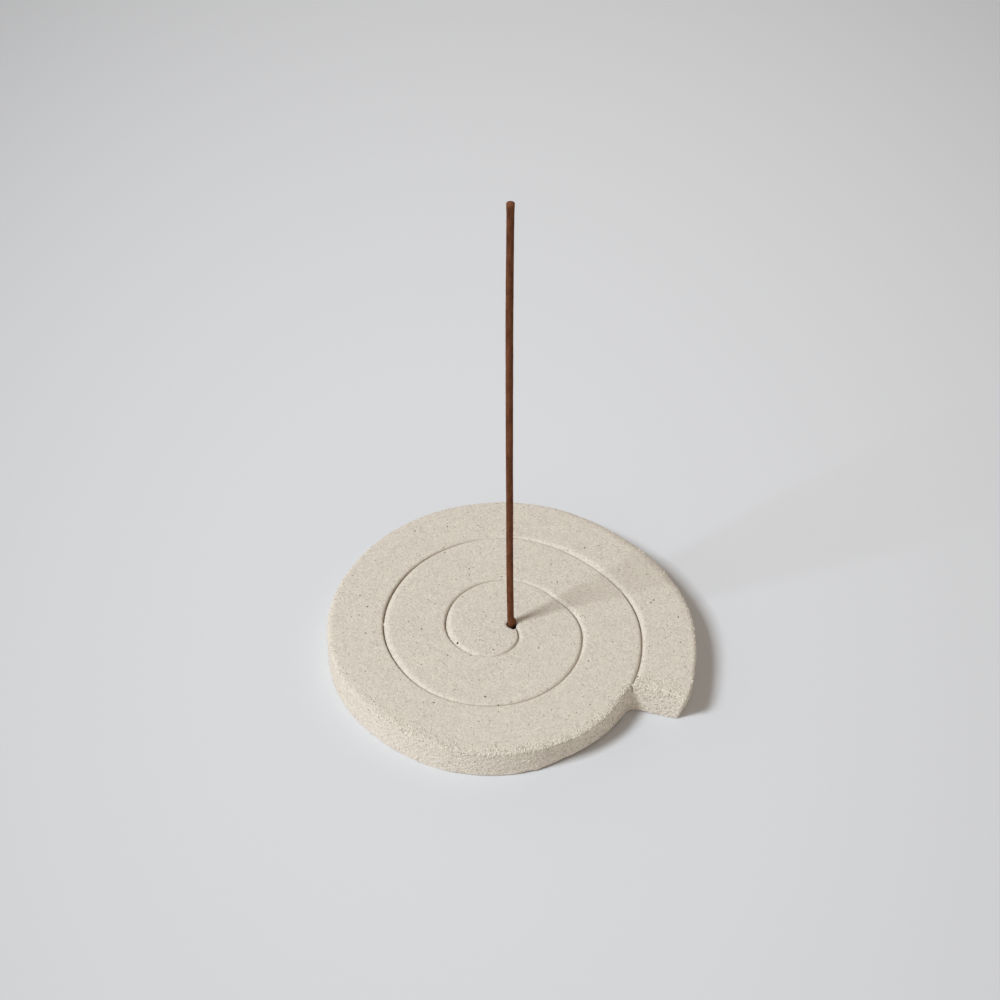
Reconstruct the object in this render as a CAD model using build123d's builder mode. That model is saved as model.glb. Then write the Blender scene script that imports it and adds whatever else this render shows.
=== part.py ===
"""Spiral incense stick holder: a stoneware slab cut as a rolled-up band, with a stick in its socket.

Millimetres, +Z up. The origin is where the socket's axis meets the underside, and +X points to the
side on which the band ends. The spiral runs clockwise as it grows, seen from above.
"""

import os
from math import atan2, degrees

from build123d import *

# Slab, rolled flat and cut out
slab_thickness = 9.5
top_edge_radius = 2.0
bottom_edge_radius = 0.8

# Spiral, drawn as quarter turns that each meet the next on a common tangent
lead_x = 1.5  # where the first quarter turn begins, seen from the socket's axis
lead_y = -4.0
first_radius = 7.5  # radius of the first quarter turn
radius_growth = 4.57  # how much wider the second quarter turn is
growth_loss = 0.106  # how much of that growth each later quarter turn loses
whole_quarters = 8  # quarter turns of groove before the one in which it runs out

# Step at which the band ends, in degrees past +X, clockwise
notch_angle = 26.8  # inner end of the cut, where the groove comes out
tip_angle = 24.2  # outer end of the cut
notch_corner_radius = 2.2
tip_corner_radius = 2.5

# Groove between the turns of the band
crease_width = 0.3
shoulder_radius = 1.1  # rounding of the band's edges down into the crease
groove_overrun = 4.0  # how far the cut runs on past the notch, into the open
cut_headroom = 0.5  # how far the cut reaches above the slab

# Incense stick, an extruded rod that is never quite straight
stick_diameter = 1.85
stick_length = 147.6
stick_bow = 0.38  # height of the bow, towards -X
stick_lean = 0.77  # how far the tip stands towards -X from the foot
stick_foot_x = -0.02  # where the foot stands, seen from the socket's axis

# Socket that the stick stands in
socket_clearance = 0.55  # on the radius
socket_floor = 2.0  # clay left below the socket
socket_rim_radius = 0.3
socket_wall_gap = 0.15  # between the stick and the wall that it stands against
foot_gap = 0.03  # the bowed stick stands on the edge of its foot

# Derived
socket_radius = stick_diameter / 2 + socket_clearance
socket_depth = slab_thickness - socket_floor
groove_half_width = crease_width / 2 + shoulder_radius
stick_foot_y = socket_clearance - socket_wall_gap
notch_quarter = whole_quarters
tip_quarter = whole_quarters + 4
lead_radius = (lead_x**2 + lead_y**2) / (2 * lead_x)
lead_sweep = degrees(atan2(-lead_y, lead_radius - lead_x))


def quarter_radius(number):
    """Radius of a quarter turn: each grows by a little less than the one before it."""
    return first_radius + radius_growth * number - growth_loss * number * (number - 1) / 2


def quarter_centre(number):
    """Centre of a quarter turn, on the line through the joint with the turn before it."""
    centre = Vector(lead_x - first_radius, lead_y)
    for step in range(1, number + 1):
        towards_joint = Vector(1, 0).rotate(Axis.Z, -90 * step)
        centre += towards_joint * (quarter_radius(step - 1) - quarter_radius(step))
    return centre


def quarter_arc(number, start=0.0, end=90.0, height=0.0):
    """The stretch of a quarter turn between two angles from its own beginning, at a height."""
    centre = quarter_centre(number) + Vector(0, 0, height)
    return CenterArc(centre, quarter_radius(number), -90 * number - start, start - end)


# Spiral base: the slab with its rounded edges, its socket and the groove that runs out at the step
with BuildPart() as spiral_base:
    with BuildSketch() as slab_outline:
        with BuildLine():
            rim_start = quarter_arc(notch_quarter, start=notch_angle)
            for quarter in range(notch_quarter + 1, tip_quarter):
                quarter_arc(quarter)
            rim_end = quarter_arc(tip_quarter, end=tip_angle)
            Line(rim_end @ 1, rim_start @ 0)
        make_face()
        fillet(slab_outline.vertices().sort_by_distance(rim_start @ 0)[0], notch_corner_radius)
        fillet(slab_outline.vertices().sort_by_distance(rim_end @ 1)[0], tip_corner_radius)
    extrude(amount=slab_thickness)
    fillet(spiral_base.faces().sort_by(Axis.Z)[-1].edges(), top_edge_radius)
    fillet(spiral_base.faces().sort_by(Axis.Z)[0].edges(), bottom_edge_radius)

    # Socket
    with Locations((0, 0, slab_thickness)):
        Hole(socket_radius, depth=socket_depth)
    socket_mouth = (socket_radius, 0, slab_thickness)
    fillet(spiral_base.edges().sort_by_distance(socket_mouth)[0], socket_rim_radius)

    # Groove, cut along the spiral from the socket's axis to the open air beyond the notch
    with BuildLine() as groove_path:
        lead_centre = (lead_x - lead_radius, lead_y, slab_thickness)
        lead_arc = CenterArc(lead_centre, lead_radius, lead_sweep, -lead_sweep)
        for quarter in range(notch_quarter):
            quarter_arc(quarter, height=slab_thickness)
        last_arc = quarter_arc(notch_quarter, end=notch_angle, height=slab_thickness)
        PolarLine(last_arc @ 1, groove_overrun, direction=last_arc % 1)
    groove_start = Plane(lead_arc @ 0, x_dir=(lead_arc % 0).cross(Vector(0, 0, 1)), z_dir=lead_arc % 0)
    with BuildSketch(groove_start):
        with BuildLine():
            left = CenterArc((-groove_half_width, -shoulder_radius), shoulder_radius, 90, -90)
            right = CenterArc((groove_half_width, -shoulder_radius), shoulder_radius, 90, 90)
            Line(left @ 1, right @ 1)
            Polyline(
                left @ 0,
                (-groove_half_width, cut_headroom),
                (groove_half_width, cut_headroom),
                right @ 0,
            )
        make_face()
    sweep(path=groove_path.line, mode=Mode.SUBTRACT)
spiral_base.part.label = "spiral_base"


# Incense stick: a rod bent to one shallow arc, standing against the socket's far wall
with BuildPart() as incense_stick:
    foot = Vector(stick_foot_x, stick_foot_y, socket_floor + foot_gap)
    tip = foot + Vector(-stick_lean, 0, stick_length)
    middle = (foot + tip) / 2 - Vector(stick_bow, 0, 0)
    with BuildLine() as stick_path:
        stick_line = ThreePointArc(foot, middle, tip)
    with BuildSketch(Plane(foot, z_dir=stick_line % 0)):
        Circle(stick_diameter / 2)
    sweep(path=stick_path.line)
incense_stick.part.label = "incense_stick"


os.makedirs("parts", exist_ok=True)
export_step(spiral_base.part, "parts/spiral_base.step")
export_step(incense_stick.part, "parts/incense_stick.step")
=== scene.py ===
from itertools import product

import bpy
import numpy as np
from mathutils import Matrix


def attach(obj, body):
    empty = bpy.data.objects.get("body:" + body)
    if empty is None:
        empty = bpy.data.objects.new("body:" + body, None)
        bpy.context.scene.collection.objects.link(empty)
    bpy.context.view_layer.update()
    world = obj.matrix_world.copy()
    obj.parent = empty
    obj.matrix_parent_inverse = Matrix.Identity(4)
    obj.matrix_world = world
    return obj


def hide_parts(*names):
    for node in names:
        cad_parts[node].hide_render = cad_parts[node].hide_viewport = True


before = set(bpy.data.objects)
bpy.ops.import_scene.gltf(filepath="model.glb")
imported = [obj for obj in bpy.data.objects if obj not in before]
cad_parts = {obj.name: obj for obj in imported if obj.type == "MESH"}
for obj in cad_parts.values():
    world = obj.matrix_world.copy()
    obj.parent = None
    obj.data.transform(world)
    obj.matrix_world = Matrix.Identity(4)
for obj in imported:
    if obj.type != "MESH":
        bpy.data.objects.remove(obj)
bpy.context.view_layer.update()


# Spiral base.
# One slab of groggy white stoneware, rolled 9.5 mm thick and cut out by hand as a rolled-up band.
# The groove was drawn into the soft clay, all edges were wiped round, and it was fired without glaze.

MM = 0.001

SLAB_THICKNESS = 9.5

# The spiral: a lead-in arc from the socket's axis, then quarter turns whose radii grow by less and less
LEAD_X = 1.5
LEAD_Y = -4.0
FIRST_RADIUS = 7.5
RADIUS_GROWTH = 4.57
GROWTH_LOSS = 0.106
LEAD_RADIUS = (LEAD_X**2 + LEAD_Y**2) / (2 * LEAD_X)
QUARTER_COUNT = 15
NOTCH_QUARTER = 8
TIP_QUARTER = 12
QUARTERS = np.arange(QUARTER_COUNT)
QUARTER_RADIUS = FIRST_RADIUS + RADIUS_GROWTH * QUARTERS - GROWTH_LOSS * QUARTERS * (QUARTERS - 1) / 2
TOWARDS_JOINT = np.stack([np.cos(QUARTERS * np.pi / 2), -np.sin(QUARTERS * np.pi / 2)], 1)
CENTRE_STEP = -np.diff(QUARTER_RADIUS, prepend=QUARTER_RADIUS[0])[:, None] * TOWARDS_JOINT
QUARTER_CENTRE = np.array([LEAD_X - FIRST_RADIUS, LEAD_Y]) + np.cumsum(CENTRE_STEP, 0)

# Where the hand-held knife strayed from the drawn spiral: turns, spread in turns, millimetres outwards
STRAY = np.array([
    (-0.10, 0.05, 0.50),
    (0.02, 0.07, 0.45),
    (0.87, 0.08, -1.65),
    (1.42, 0.05, -0.35),
    (1.87, 0.08, -1.70),
    (2.06, 0.03, 0.15),
    (2.10, 0.02, -0.50),
    (2.14, 0.075, 1.05),
    (2.25, 0.05, 0.55),
    (2.37, 0.05, -0.50),
    (2.83, 0.06, -0.75),
    (3.04, 0.05, 0.30),
    (3.065, 0.025, 1.20),
])

NOTCH_TURN = 2 + 26.8 / 360
TIP_TURN = 3 + 24.2 / 360
NOTCH_CORNER = 2.6
TIP_CORNER = 1.2
# The tip leans over: how far its foot lies from its rim, less and less along the wall and the cut beside it
TIP_LEAN = np.array([-1.9, 0.8])
TIP_LEAN_SPREAD = 6.0

# The groove is a thin cut, and a finger that followed it wore its shoulders into slopes. The cut runs on a
# little way down the wall at the notch: turns, depth of the cut, widths of its inner and outer slopes
CREASE_HALF_WIDTH = 0.17
CUT_WIDTH = 0.45
WORN_SLOPE = 0.33
WORN_HOLLOW = 1.5
SLOT_REACH = 2.2
SLOT_FALL = 1.4
GROOVE = np.array([
    (-0.10, 0.51, 0.00, 1.30),
    (0.05, 0.51, 0.00, 1.30),
    (0.15, 0.47, 0.10, 0.60),
    (0.25, 0.38, 0.30, 0.20),
    (0.33, 0.42, 1.20, 0.00),
    (0.42, 0.42, 2.00, 0.00),
    (0.52, 0.42, 2.00, 0.00),
    (0.60, 0.42, 1.00, 0.00),
    (0.68, 0.50, 0.40, 0.10),
    (0.74, 0.40, 0.30, 0.20),
    (0.77, 0.22, 0.10, 0.60),
    (0.81, 0.12, 0.00, 1.00),
    (0.85, 0.16, 0.00, 1.40),
    (0.90, 0.36, 0.00, 1.50),
    (1.00, 0.55, 0.10, 1.50),
    (1.10, 0.55, 0.20, 1.00),
    (1.20, 0.51, 0.20, 0.40),
    (1.30, 0.42, 0.60, 0.10),
    (1.40, 0.51, 1.80, 0.00),
    (1.55, 0.53, 1.80, 0.00),
    (1.62, 0.51, 1.20, 0.00),
    (1.70, 0.47, 0.30, 0.30),
    (1.76, 0.30, 0.10, 0.80),
    (1.85, 0.47, 0.10, 2.00),
    (1.95, 0.59, 0.30, 1.50),
    (2.03, 0.59, 0.70, 1.40),
    (2.07, 0.64, 1.00, 1.30),
])

# The wiped upper edge is broad at the front left and the back right, and narrow at the back and beside the
# step. The wall is undercut at the front right: turns, width, drop, roughness, rounding of the lower edge,
# degrees by which the wall's foot stands out
WALL_EDGE = np.array([
    (2.05, 0.8, 0.6, 0.9, 0.9, 2.0),
    (2.09, 0.8, 0.6, 0.9, 0.9, 2.0),
    (2.12, 1.3, 0.5, 0.9, 1.2, -4.0),
    (2.14, 1.5, 0.45, 0.9, 1.2, -7.0),
    (2.17, 1.6, 0.45, 0.9, 1.2, -8.0),
    (2.20, 1.8, 0.5, 0.9, 1.2, -1.5),
    (2.235, 2.0, 0.5, 0.75, 0.6, -1.5),
    (2.28, 2.0, 0.4, 0.72, 0.3, -1.0),
    (2.31, 2.6, 0.5, 0.65, 0.2, 2.0),
    (2.36, 3.2, 0.6, 0.6, 0.2, 3.0),
    (2.42, 3.2, 0.7, 0.5, 0.2, 3.0),
    (2.46, 2.2, 0.8, 0.45, 0.3, 2.0),
    (2.50, 1.6, 1.1, 0.4, 0.5, 0.0),
    (2.62, 1.3, 1.1, 0.4, 0.8, 0.0),
    (2.75, 1.0, 1.0, 0.4, 0.8, 0.0),
    (2.81, 1.6, 1.1, 0.4, 0.8, 0.0),
    (2.87, 4.0, 2.6, 0.4, 0.8, 0.0),
    (2.93, 3.6, 2.4, 0.4, 0.8, 0.0),
    (2.97, 1.6, 1.1, 0.5, 0.8, -3.0),
    (3.02, 0.9, 0.9, 0.6, 0.4, -4.0),
    (3.05, 0.8, 0.8, 0.6, 0.3, -2.0),
])
# The same along the tip's corner, the end cut and the notch's corner, by share of the way from wall to wall
END_EDGE = np.array([
    (0.00, 0.8, 0.8, 0.6, 0.3, -2.0),
    (0.10, 0.8, 0.8, 0.9, 0.3, 2.0),
    (0.25, 1.8, 1.6, 0.92, 0.6, 8.0),
    (0.40, 2.4, 2.2, 0.92, 0.8, 8.0),
    (0.70, 2.2, 2.0, 0.92, 0.8, 8.0),
    (0.88, 1.0, 1.0, 0.92, 0.8, 4.0),
    (1.00, 0.8, 0.6, 0.9, 0.9, 2.0),
])

SOCKET_RADIUS = 1.475
SOCKET_FLOOR = 2.0
SOCKET_RIM_DROP = 0.22
SOCKET_RIM_WIDTH = 0.35
# Wall and floor of the socket below its mouth: height, share of the radius
SOCKET_PROFILE = np.array([
    (8.6, 1.00),
    (6.0, 1.00),
    (4.0, 0.99),
    (2.3, 0.97),
    (SOCKET_FLOOR, 0.80),
])
# The mouth was pushed through by hand and its rim tore: turns, radius
MOUTH = np.array([
    (0.017, 1.40),
    (0.129, 1.65),
    (0.189, 1.92),
    (0.244, 1.46),
    (0.330, 1.24),
    (0.455, 1.24),
    (0.541, 1.42),
    (0.650, 1.50),
    (0.850, 1.50),
    (0.945, 1.52),
])

# Crumbs that fill the groove, at pixels of the 1000 x 1000 photograph: spread in millimetres, share filled
GROOVE_CRUMBS = np.array([
    (383.8, 622.7, 0.60, 0.50),
    (395.6, 577.0, 0.65, 0.75),
    (620.6, 592.0, 0.65, 0.75),
    (479.5, 654.3, 1.70, 0.85),
])

# Crumbling beside the worn edges: how far it reaches on to the top, and how rough the end cut is
RIM_REACH = 2.2
END_REACH = 2.5
END_ROUGHNESS = 0.92

# Lumps of the clay, everywhere, on the rough edges and in the rounded foot: height, size, seed
CLAY_LUMPS = ((0.07, 11.0, 3), (0.03, 3.5, 5))
ROUGH_LUMPS = ((0.06, 4.0, 7), (0.03, 1.8, 9))
FOOT_LUMPS = ((0.35, 2.2, 31),)

# Camera fitted to the photograph: downward angle, focal length in pixels, the pixel of the socket's mouth
CAMERA_PITCH = np.radians(44.04)
CAMERA_FOCAL = 2085.0
PICTURE_SIDE = 1000.0
MOUTH_PIXEL = np.array([511.29, 624.15])
PIXELS_PER_MM = 3.6577

# Fineness of the mesh: steps in a turn, then rows across the band, the rim, the wall, the foot, the underside
TURN_STEPS = 640
ROWS = 25
ROUNDING_ROWS = 9
WALL_ROWS = 12
FOOT_ROWS = 3
UNDERSIDE_ROWS = 5
# How evenly the band's rows are spread, points along the outline, steps in which the end cut's slant fades
ROW_EVENNESS = 0.14
WALL_SAMPLES = 6000
CORNER_SAMPLES = 150
CORNER_ROUNDS = 3
END_FADE_STEPS = 15.0


def facing(turns):
    """Unit direction at some turns past +X, clockwise seen from above."""
    return np.stack([np.cos(2 * np.pi * turns), -np.sin(2 * np.pi * turns)], -1)


def turn_of(vector):
    """Turns past +X, clockwise, of a direction: the inverse of facing."""
    return np.arctan2(-vector[1], vector[0]) / (2 * np.pi) % 1


def spiral(turns):
    """Points on the spiral at some turns past +X, clockwise.

    Each quarter turn is an arc about its own centre, which lies on the line through the joint with
    the quarter before it, so that they share a tangent. Before turn 0 a lead-in arc comes from the
    socket's axis. The knife's straying is added outwards, as bell curves.
    """
    quarter = np.clip(np.floor(turns * 4).astype(int), 0, len(QUARTERS) - 1)
    radius = np.where(turns < 0, LEAD_RADIUS, QUARTER_RADIUS[quarter])
    lead_centre = np.array([LEAD_X - LEAD_RADIUS, LEAD_Y])
    centre = np.where((turns < 0)[..., None], lead_centre, QUARTER_CENTRE[quarter])
    bells = STRAY[:, 2] * np.exp(-(((turns[..., None] - STRAY[:, 0]) / STRAY[:, 1]) ** 2))
    return centre + (radius + bells.sum(-1))[..., None] * facing(turns)


def lattice_hash(cells, seed):
    """A number from 0 to 1 for each whole-numbered cell: its coordinates multiplied, folded and mixed."""
    mixed = (cells.astype(np.uint64) * np.array([73856093, 19349663, 83492791], np.uint64)).sum(1)
    mixed = (mixed + np.uint64(seed * 26544357)) & np.uint64(0xFFFFFFFF)
    for shift, factor in ((16, 0x7FEB352D), (15, 0x846CA68B)):
        mixed = ((mixed ^ (mixed >> np.uint64(shift))) * np.uint64(factor)) & np.uint64(0xFFFFFFFF)
    mixed ^= mixed >> np.uint64(16)
    return mixed.astype(float) / 0xFFFFFFFF


def clay_lumps(points, size, seed):
    """Smooth noise from -1 to 1: a random value at each corner of a cube lattice, blended by cubic steps."""
    scaled = points / size + 4096.0
    cell = np.floor(scaled)
    part = scaled - cell
    part = part * part * (3 - 2 * part)
    total = np.zeros(len(points))
    for corner in product((0, 1), repeat=3):
        share = np.where(np.array(corner) == 1, part, 1 - part).prod(1)
        total += share * lattice_hash(cell + np.array(corner), seed)
    return 2 * total - 1


def lumpy(points, lumps):
    """Sum of several kinds of lumps, each of its own height, size and seed."""
    return sum(height * clay_lumps(points, size, seed) for height, size, seed in lumps)


def sight_lines(pixels):
    """Directions through pixels: ahead, plus sideways and down by their offsets over the focal length."""
    ahead = np.array([0, np.cos(CAMERA_PITCH), -np.sin(CAMERA_PITCH)])
    above = np.array([0, np.sin(CAMERA_PITCH), np.cos(CAMERA_PITCH)])
    offset = (pixels - PICTURE_SIDE / 2) / CAMERA_FOCAL
    return ahead + offset[..., :1] * np.array([1.0, 0, 0]) - offset[..., 1:] * above


camera_place = np.array([0, 0, SLAB_THICKNESS]) - CAMERA_FOCAL / PIXELS_PER_MM * sight_lines(MOUTH_PIXEL)


def spots_on_slab(pixels):
    """Places on the slab's top that show at some pixels, where their sight lines come down to its height."""
    lines = sight_lines(pixels)
    return (camera_place + (SLAB_THICKNESS - camera_place[2]) / lines[..., 2:] * lines)[..., :2]


def shoulder(distance, width):
    """A shoulder's drop from 1 to 0: level in the crease, then a quarter ellipse as far as its width."""
    run = np.clip((distance - CREASE_HALF_WIDTH) / width, 0, 1)
    return 1 - np.sqrt(np.clip(1 - (1 - run) ** 2, 0, 1))


def groove_drop(distance, depth, worn, worn_slope):
    """Drop beside the groove's line: its cut, and a worn slope that flattens out at the worn width."""
    left = np.clip(1 - distance / np.maximum(worn, 0.01), 0, 1)
    return depth * shoulder(distance, CUT_WIDTH) + worn_slope * worn * left**WORN_HOLLOW


def corner_centre(point, along, across, centre, reach):
    """Centre of a corner's arc.

    It lies on the line through point + across, which runs along, at a reach from the wall's centre.
    """
    start = point + across - centre
    back = start @ along
    return point + across + along * (np.sqrt(back**2 - start @ start + reach**2) - back)


# Outline of the slab, clockwise: wall of the last turn, the tip's corner, the end cut, the notch's corner.
# The corners and the ends of the wall depend on each other, and settle in a few rounds
notch_point, tip_point = spiral(np.array([NOTCH_TURN, TIP_TURN]))
cut_along = (tip_point - notch_point) / np.linalg.norm(tip_point - notch_point)
cut_inward = np.array([-cut_along[1], cut_along[0]])
cut_turn = 3 + turn_of(-cut_inward)
wall_from, wall_to = NOTCH_TURN, TIP_TURN
for settling in range(CORNER_ROUNDS):
    notch_reach, tip_reach = np.linalg.norm(
        spiral(np.array([wall_from, wall_to])) - QUARTER_CENTRE[[NOTCH_QUARTER, TIP_QUARTER]], axis=1
    )
    tip_centre = corner_centre(
        tip_point, cut_along, TIP_CORNER * cut_inward, QUARTER_CENTRE[TIP_QUARTER], tip_reach - TIP_CORNER
    )
    notch_centre = corner_centre(
        notch_point, cut_along, -NOTCH_CORNER * cut_inward,
        QUARTER_CENTRE[NOTCH_QUARTER], notch_reach + NOTCH_CORNER
    )
    wall_from = 2 + turn_of(notch_centre - QUARTER_CENTRE[NOTCH_QUARTER])
    wall_to = 3 + turn_of(tip_centre - QUARTER_CENTRE[TIP_QUARTER])
wall_turns = np.linspace(wall_from, wall_to, WALL_SAMPLES)
tip_turns = np.linspace(wall_to, cut_turn, CORNER_SAMPLES)
notch_turns = np.linspace(cut_turn, 1 + wall_from, CORNER_SAMPLES)
outline = np.concatenate([
    spiral(wall_turns),
    tip_centre + TIP_CORNER * facing(tip_turns),
    notch_centre - NOTCH_CORNER * facing(notch_turns),
])
outline_turn = np.concatenate([wall_turns, tip_turns, notch_turns])
outline_run = np.concatenate([[0], np.cumsum(np.linalg.norm(np.diff(outline, axis=0), axis=1))])
end_run = outline_run[WALL_SAMPLES:] - outline_run[WALL_SAMPLES]
end_share = end_run / end_run[-1]
edge = np.stack([np.concatenate([
    np.interp(wall_turns, WALL_EDGE[:, 0], WALL_EDGE[:, column]),
    np.interp(end_share, END_EDGE[:, 0], END_EDGE[:, column]),
]) for column in range(1, 6)], 1)


def wall_shape(width, drop, tuck, batter):
    """Angle at which the upper rounding meets a wall, the wall's height, and how far its foot stands out.

    The wall slants by the tangent of its batter, and the rounding ends where its own slope is the same.
    """
    slant = np.tan(np.radians(batter))
    last_curl = np.arctan2(width, drop * slant)
    wall_height = SLAB_THICKNESS - drop * (1 - np.cos(last_curl)) - tuck
    return last_curl, wall_height, wall_height * slant


edge_curl, _, edge_lean = wall_shape(*edge.T[[0, 1, 3, 4]])
edge_inset = np.clip(edge_lean, 0, None) + edge[:, 0] * np.sin(edge_curl)
rim_start = outline - edge_inset[:, None] * facing(outline_turn)

# The groove leaves over the rim where the spiral crosses the line on which the rim begins to round
from_notch_centre = np.linalg.norm(rim_start[-CORNER_SAMPLES:] - QUARTER_CENTRE[NOTCH_QUARTER], axis=1)
notch_run = np.interp(0, notch_reach - from_notch_centre, outline_run[-CORNER_SAMPLES:])
tip_run = outline_run[WALL_SAMPLES:WALL_SAMPLES + CORNER_SAMPLES].mean()
groove_end = np.array([np.interp(notch_run, outline_run, rim_start[:, axis]) for axis in range(2)])

# Grid of the top: rows across the band at every step of the spiral, closer together beside the groove
even = np.arange(ROWS + 1) / ROWS
row_share = ROW_EVENNESS * even + (1 - ROW_EVENNESS) * (1 - np.cos(np.pi * even)) / 2
last_turn = 3 + turn_of(groove_end - QUARTER_CENTRE[NOTCH_QUARTER])
lead_turns = np.arctan2(-LEAD_Y, LEAD_RADIUS - LEAD_X) / (2 * np.pi)
mouth_turn = SOCKET_RADIUS / (2 * np.pi * LEAD_RADIUS) - lead_turns
steps = int((last_turn - mouth_turn) * TURN_STEPS) + 1
turns = last_turn - np.arange(steps)[::-1] / TURN_STEPS
closing = steps - 1 - TURN_STEPS


def along_outline(run, values):
    """Values given along the outline, read at some runs along it."""
    values = values.reshape(len(outline_run), -1)
    return np.stack([np.interp(run % outline_run[-1], outline_run, column) for column in values.T], 1)


# Rim loop: one place on the outline for each step of the last turn, then for each row of the end cut
loop_run = np.concatenate([
    np.linspace(notch_run - outline_run[-1], tip_run, TURN_STEPS + 1),
    tip_run + (notch_run - tip_run) * (1 - row_share[-2:0:-1]),
])
loop_rim = along_outline(loop_run, rim_start)
loop_count = len(loop_run)

# The wall has two places for each one of the rim loop
side_run = np.interp(np.arange(2 * loop_count) / 2, np.arange(loop_count + 1), np.append(loop_run, notch_run))
side_outline = along_outline(side_run, outline)
side_outward = facing(along_outline(side_run, outline_turn)[:, 0])
side_width, side_drop, side_roughness, side_tuck, side_batter = along_outline(side_run, edge).T
side_tuck *= 1 + lumpy(np.pad(side_outline, ((0, 0), (0, 1))), FOOT_LUMPS)
side_curl, wall_height, side_lean = wall_shape(side_width, side_drop, side_tuck, side_batter)
side_rim = along_outline(side_run, rim_start)

# The band's outer line is the groove as far as the notch, and the rim loop after it
outer = spiral(turns)
outer[closing:] = loop_rim[:TURN_STEPS + 1]
mouth_facing = turn_of(outer[0]) + np.arange(TURN_STEPS) / TURN_STEPS
mouth_radius = np.interp(mouth_facing, MOUTH[:, 0], MOUTH[:, 1], period=1)
mouth = mouth_radius[:, None] * facing(mouth_facing)
inner = np.concatenate([mouth, outer[:steps - TURN_STEPS]])
inner[TURN_STEPS] = mouth[0]
top = inner[:, None] + row_share[None, :, None] * (outer - inner)[:, None]
end_row = np.concatenate([loop_rim[:1], loop_rim[:TURN_STEPS - 1:-1]])
fading = np.exp(-(steps - 1 - np.arange(steps)) / END_FADE_STEPS)
top += fading[:, None, None] * (end_row - top[-1])[None]

# Drop of the top into the groove, the socket's mouth and the notch
groove_depth = np.interp(turns, GROOVE[:, 0], GROOVE[:, 1])
groove_inner, groove_outer = [np.interp(turns, GROOVE[:, 0], GROOVE[:, column]) for column in (2, 3)]
band_width = np.abs(((outer - inner) * facing(turns)).sum(1))
to_outer = band_width[:, None] * (1 - row_share)
to_inner = band_width[:, None] * row_share
to_end = np.linalg.norm(top - groove_end, axis=2)
top_turn = np.arctan2(-top[..., 1], top[..., 0]) / (2 * np.pi)
mouth_reach = np.interp(top_turn, MOUTH[:, 0], MOUTH[:, 1], period=1)


def grooved(worn_slope):
    """Drop of the top into the mouth, the groove and the notch, for some steepness of the worn slopes."""
    down = SOCKET_RIM_DROP * shoulder(np.linalg.norm(top, axis=2) - mouth_reach, SOCKET_RIM_WIDTH)
    for distance, place in ((np.linalg.norm(top - mouth[0], axis=2), 0), (to_end, closing)):
        down = np.maximum(down, groove_drop(distance, groove_depth[place], groove_outer[place], worn_slope))
    down[:closing] = np.maximum(down[:closing], groove_drop(
        to_outer[:closing], groove_depth[:closing, None], groove_inner[:closing, None], worn_slope
    ))
    down[TURN_STEPS:] = np.maximum(down[TURN_STEPS:], groove_drop(
        to_inner[TURN_STEPS:], groove_depth[:-TURN_STEPS, None], groove_outer[:-TURN_STEPS, None], worn_slope
    ))
    for pixel_x, pixel_y, spread, filled in GROOVE_CRUMBS:
        to_crumb = np.linalg.norm(top - spots_on_slab(np.array([pixel_x, pixel_y])), axis=2)
        down *= 1 - filled * np.exp(-((to_crumb / spread) ** 2))
    return down


drop = grooved(WORN_SLOPE)
cut_drop = grooved(0.0)
to_end_cut = np.arange(steps)[::-1, None] * np.linalg.norm(outer[-1] - outer[-2])
top_roughness = np.zeros_like(drop)
top_roughness[closing:] = np.exp(-((to_outer[closing:] / RIM_REACH) ** 2)) * along_outline(
    loop_run[:TURN_STEPS + 1], edge[:, 2]
)
top_roughness = np.maximum(top_roughness, END_ROUGHNESS * np.exp(-((to_end_cut / END_REACH) ** 2)))

# Rows of the rim, the wall and the underside, as insets from the outline, heights and shares of the slope
curl = np.linspace(0, 1, ROUNDING_ROWS + 1)[1:, None] * side_curl
tuck = np.linspace(0, np.pi / 2, FOOT_ROWS + 1)[1:, None]
shrink = np.linspace(1, 0, UNDERSIDE_ROWS + 1)[1:-1]
wall_share = np.linspace(0, 1, WALL_ROWS + 1)[1:, None]
level_row = np.ones(2 * loop_count)
upper_inset, foot_inset = np.clip(side_lean, 0, None), np.clip(-side_lean, 0, None)
side_inset = np.concatenate([
    upper_inset + side_width * (np.sin(side_curl) - np.sin(curl)),
    upper_inset * (1 - wall_share) + foot_inset * wall_share,
    foot_inset + side_tuck * (1 - np.cos(tuck)),
])
side_height = np.concatenate([
    SLAB_THICKNESS - side_drop * (1 - np.cos(curl)),
    side_tuck + wall_height * (1 - wall_share),
    side_tuck * (1 - np.sin(tuck)),
])
side_slope = np.concatenate([
    np.arctan2(side_width * np.cos(curl), side_drop * np.sin(curl)),
    np.broadcast_to(np.radians(side_batter), (WALL_ROWS, 2 * loop_count)),
    -tuck * level_row,
])
side = np.concatenate([side_outline - side_inset[..., None] * side_outward, side_height[..., None]], 2)
side_normal = np.concatenate([np.cos(side_slope)[..., None] * side_outward, np.sin(side_slope)[..., None]], 2)
from_groove = np.linalg.norm(side_rim - groove_end, axis=1)
valley = groove_drop(from_groove, groove_depth[closing], groove_outer[closing], WORN_SLOPE)
level_share = np.clip(1 - SLOT_FALL * (1 - np.sin(side_slope)), 0, 1)
slot = np.maximum(level_share, np.exp(-(((SLAB_THICKNESS - side_height) / SLOT_REACH) ** 2)))
side -= (valley * slot)[..., None] * side_normal
tip_lean = np.exp(-(((side_run - tip_run) / TIP_LEAN_SPREAD) ** 2))
side[..., :2] += (tip_lean * (1 - side_height / SLAB_THICKNESS))[..., None] * TIP_LEAN
under_middle = loop_rim.mean(0)
underside = np.concatenate([
    under_middle + shrink[:, None, None] * (side[-1, :, :2] - under_middle)[None],
    np.zeros((len(shrink), 2 * loop_count, 1)),
], 2)

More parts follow.
